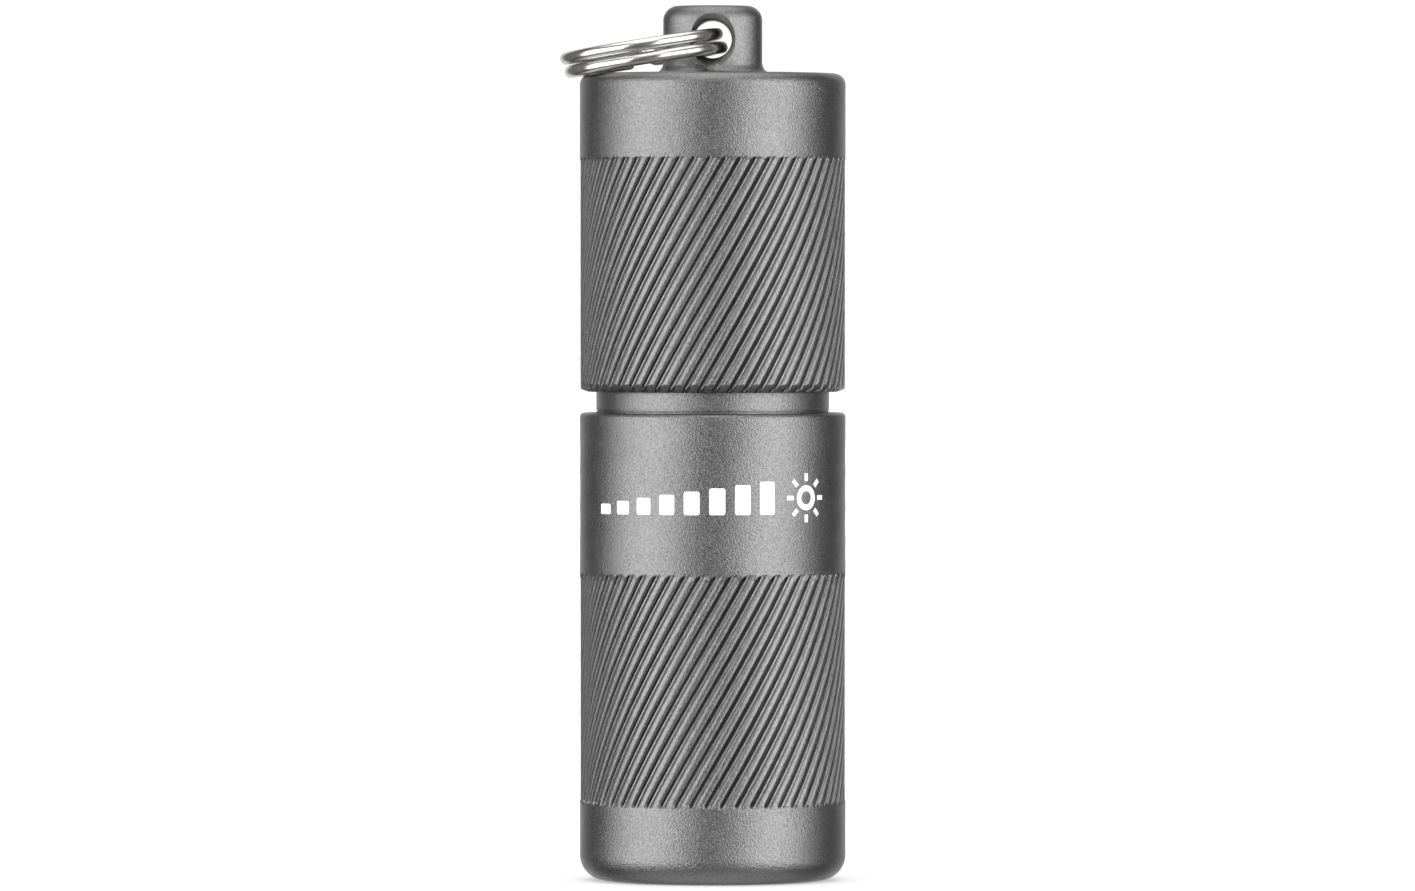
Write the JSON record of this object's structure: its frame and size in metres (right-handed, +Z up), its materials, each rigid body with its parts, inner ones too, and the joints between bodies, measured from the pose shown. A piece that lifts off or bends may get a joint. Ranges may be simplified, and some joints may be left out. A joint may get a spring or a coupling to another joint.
{
  "type": "keychain flashlight",
  "caption": "Rechargeable keychain flashlight: fluted metal barrel, twist sleeve that pulls up off a charging port, lug and split ring.",
  "frame": {"origin": "on the barrel's axis at the standing face, the front of the lens bezel", "axes": "+Z up the barrel from the lens end to the key-ring lug, -Y the side with the charging port, -X the side the key ring lies on"},
  "size_m": [0.0165, 0.0152, 0.0503],
  "materials": {
    "anodised_grey": "bead-blasted, hard anodised gunmetal grey",
    "bare_aluminium": "fine-turned, clear anodised",
    "clear_optic": "clear polished moulding",
    "seal_rubber": "black, slightly greased",
    "white_moulding": "white moulded plastic",
    "led_package": "pale package with yellow phosphor dome",
    "board_white": "white solder mask",
    "board_green": "dark green solder mask",
    "board_black": "black solder mask",
    "retainer_brass": "turned brass",
    "chip_black": "black moulded packages",
    "contact_gold": "gold-plated brass",
    "cell_wrap": "plain blue shrink wrap",
    "cell_sleeve_film": "tan insulating paper tube",
    "nickel": "nickel strip",
    "port_steel": "drawn stainless shell",
    "port_plastic": "black moulded tongue",
    "light_pipe": "frosted clear light pipe",
    "spring_steel": "spring wire",
    "plug_black": "black turned plastic",
    "glide_white": "slippery white plastic",
    "ring_steel": "polished nickel-plated spring steel"
  },
  "bodies": {
    "core": {"head_shell": "anodised_grey", "lens_gasket": "seal_rubber", "collimator_lens": "clear_optic", "lens_holder": "white_moulding", "led_board": "board_white", "led_emitter": "led_package", "board_retainer": "retainer_brass", "driver_board": "board_green", "driver_components": "chip_black", "cell_contact": "contact_gold", "head_seal": "seal_rubber", "battery_tube": "bare_aluminium", "battery_cell": "cell_wrap", "cell_sleeve": "cell_sleeve_film", "cell_tab": "nickel", "usb_shell": "port_steel", "usb_tongue": "port_plastic", "charge_board": "board_black", "charge_components": "chip_black", "charge_indicator": "light_pipe", "spring_seat": "contact_gold", "plunger_spring": "spring_steel", "end_plug": "plug_black"},
    "plunger": {"contact_plunger": "contact_gold"},
    "glide": {"glide_ring": "glide_white"},
    "sleeve": {"tail_sleeve": "anodised_grey", "contact_pad": "contact_gold"},
    "key_ring": {"split_ring": "ring_steel"}
  },
  "joints": [
    {"name": "contact_travel", "type": "slide", "parent": "core", "child": "plunger", "axis": [0, 0, 1], "range_m": [-0.00084, 0.00151], "deforming": ["plunger_spring"]},
    {"name": "sleeve_pull", "type": "slide", "parent": "plunger", "child": "glide", "axis": [0, 0, 1], "range_m": [0, 0.0102]},
    {"name": "sleeve_twist", "type": "hinge", "parent": "glide", "child": "sleeve", "pos_m": [0, 0, 0.0373], "axis": [0, 0, 1], "range_deg": [-300, 540]},
    {"name": "ring_swing", "type": "hinge", "parent": "sleeve", "child": "key_ring", "pos_m": [0, 0, 0.04835], "axis": [0, 1, 0], "range_deg": [0, 196]}
  ],
  "couplings": [
    {"joint": "contact_travel", "follows": "sleeve_twist", "m_per_rad": 0.00015915}
  ]
}
